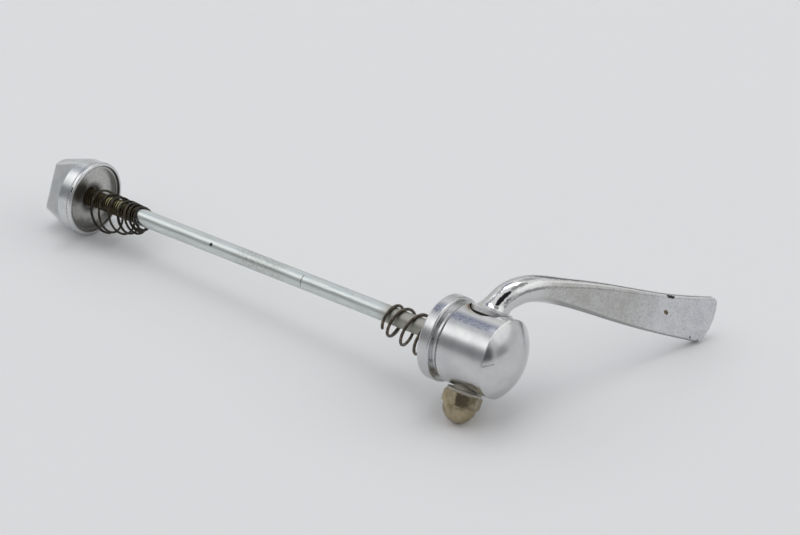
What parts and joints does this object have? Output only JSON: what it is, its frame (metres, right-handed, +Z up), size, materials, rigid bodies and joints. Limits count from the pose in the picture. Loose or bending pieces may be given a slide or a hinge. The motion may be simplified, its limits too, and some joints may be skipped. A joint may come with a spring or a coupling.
{
  "type": "quick release skewer",
  "caption": "Bicycle quick release skewer with an enclosed cam: a slim rod, cam housing with a swinging lever, adjusting nut and conical springs.",
  "frame": {"origin": "on the table under the middle of the part's outline", "axes": "+Z up from the table, +X along the rod seen from above, from the adjusting nut towards the cam housing"},
  "size_m": [0.1874, 0.084, 0.0339],
  "materials": {
    "plated_rod": "zinc plated, drawn along its length, scuffed",
    "plated_body": "plated, satin turned with worn edges",
    "plated_lever": "polished, with fine pitting towards the tip",
    "washer_steel": "plain",
    "tarnished_nut": "tarnished brown",
    "spring_wire": "dark oiled spring wire"
  },
  "bodies": {
    "skewer": {"skewer_rod": "plated_rod"},
    "housing": {"cam_housing": "plated_body", "lever_side_spring": "spring_wire"},
    "lever": {"cam_lever": "plated_lever", "washer": "washer_steel", "acorn_nut": "tarnished_nut"},
    "nut_spring": {"nut_side_spring": "spring_wire"},
    "nut": {"adjusting_nut": "plated_body"}
  },
  "joints": [
    {"name": "cam_throw", "type": "slide", "parent": "skewer", "child": "housing", "axis": [-0.9988, 0, -0.0483], "range_m": [-0.00189, 0.00032]},
    {"name": "lever_swing", "type": "hinge", "parent": "housing", "child": "lever", "pos_m": [0.06136, -0.02834, 0.01797], "axis": [-0.0401, 0.5576, 0.8291], "range_deg": [-153.7, 26.3]},
    {"name": "nut_travel", "type": "slide", "parent": "skewer", "child": "nut_spring", "axis": [0.9988, 0, 0.0483], "range_m": [-0.003, 0.014]},
    {"name": "nut_turn", "type": "hinge", "parent": "nut_spring", "child": "nut", "pos_m": [-0.07887, -0.02834, 0.01118], "axis": [0.9988, 0, 0.0483], "range_deg": [-1350, 6300]}
  ],
  "couplings": [
    {"joint": "cam_throw", "follows": "lever_swing", "m_per_rad": 0.00070474},
    {"joint": "nut_travel", "follows": "nut_turn", "m_per_rad": 0.00012732}
  ]
}
